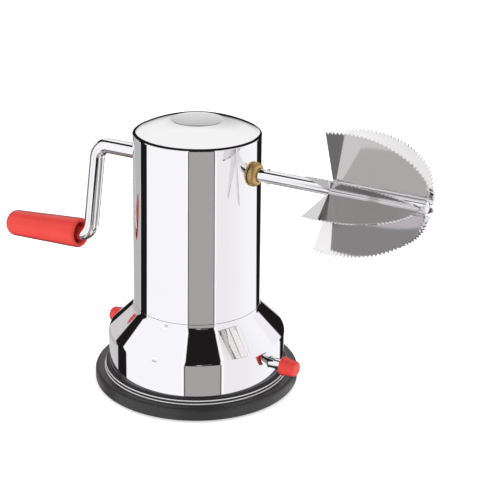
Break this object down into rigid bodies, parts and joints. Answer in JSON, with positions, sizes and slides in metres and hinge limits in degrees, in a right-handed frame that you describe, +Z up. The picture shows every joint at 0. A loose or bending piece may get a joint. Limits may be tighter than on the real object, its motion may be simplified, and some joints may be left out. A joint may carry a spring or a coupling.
{
  "type": "hand crank coconut grater",
  "caption": "Table-top grater: a crank through a polished steel barrel turns a rosette of toothed blades; a lever-locked suction base holds it down.",
  "frame": {"origin": "centre of the footprint, on the plane it stands on", "axes": "+Z up; +X along the crank shaft from the crank towards the grating blades; +Y to the rear"},
  "size_m": [0.2923, 0.13, 0.1823],
  "materials": {
    "polished_steel": "mirror polished stainless steel sheet",
    "plated_rod": "bright plated steel rod",
    "blade_steel": "bright rolled stainless sheet, teeth punched",
    "spindle_steel": "polished stainless tube",
    "plain_steel": "zinc plated steel",
    "brass": "turned brass",
    "red_plastic": "satin moulded plastic",
    "black_plastic": "satin moulded plastic",
    "black_rubber": "matt rubber",
    "white_nylon": "natural nylon"
  },
  "bodies": {
    "root": {"barrel": "polished_steel", "flared_skirt": "polished_steel", "base_ring": "black_plastic", "base_plate": "plain_steel", "base_screws": "plain_steel", "suction_pad": "black_rubber", "bearing_tube": "plain_steel", "blade_side_bush": "brass", "crank_side_bush": "brass", "lever_bracket_right": "plain_steel", "lever_bracket_left": "plain_steel", "stud_guide_bush": "brass"},
    "crank": {"crank_rod": "plated_rod", "thrust_washer": "white_nylon", "grip_retaining_ring": "plain_steel", "blade_spindle": "spindle_steel", "spindle_pin": "spindle_steel", "spindle_end_cap": "spindle_steel", "blade_rear_upper": "blade_steel", "blade_front_upper": "blade_steel", "blade_front_lower": "blade_steel", "blade_rear_lower": "blade_steel"},
    "grip": {"grip": "red_plastic"},
    "lever": {"lever_rod": "plated_rod", "lever_clips": "plain_steel", "lever_knob_right": "red_plastic", "lever_knob_left": "red_plastic", "lift_cam": "plain_steel", "cam_screw": "plain_steel"},
    "stud": {"lift_yoke": "plain_steel", "pad_plate": "plain_steel"}
  },
  "joints": [
    {"name": "crank_spin", "type": "hinge", "parent": "root", "child": "crank", "pos_m": [0, 0, 0.1435], "axis": [1, 0, 0], "continuous": true},
    {"name": "grip_spin", "type": "hinge", "parent": "crank", "child": "grip", "pos_m": [-0.0735, -0.01125, 0.08563], "axis": [-0.9981, -0.0116, -0.0599], "continuous": true},
    {"name": "lever_turn", "type": "hinge", "parent": "root", "child": "lever", "pos_m": [0, 0, 0.025], "axis": [0.9976, -0.0698, 0], "range_deg": [0, 180]},
    {"name": "pad_lift", "type": "slide", "parent": "root", "child": "stud", "axis": [0, 0, 1], "range_m": [0, 0.0045]}
  ],
  "couplings": [
    {"joint": "pad_lift", "follows": "lever_turn", "m_per_rad": 0.0014324}
  ]
}
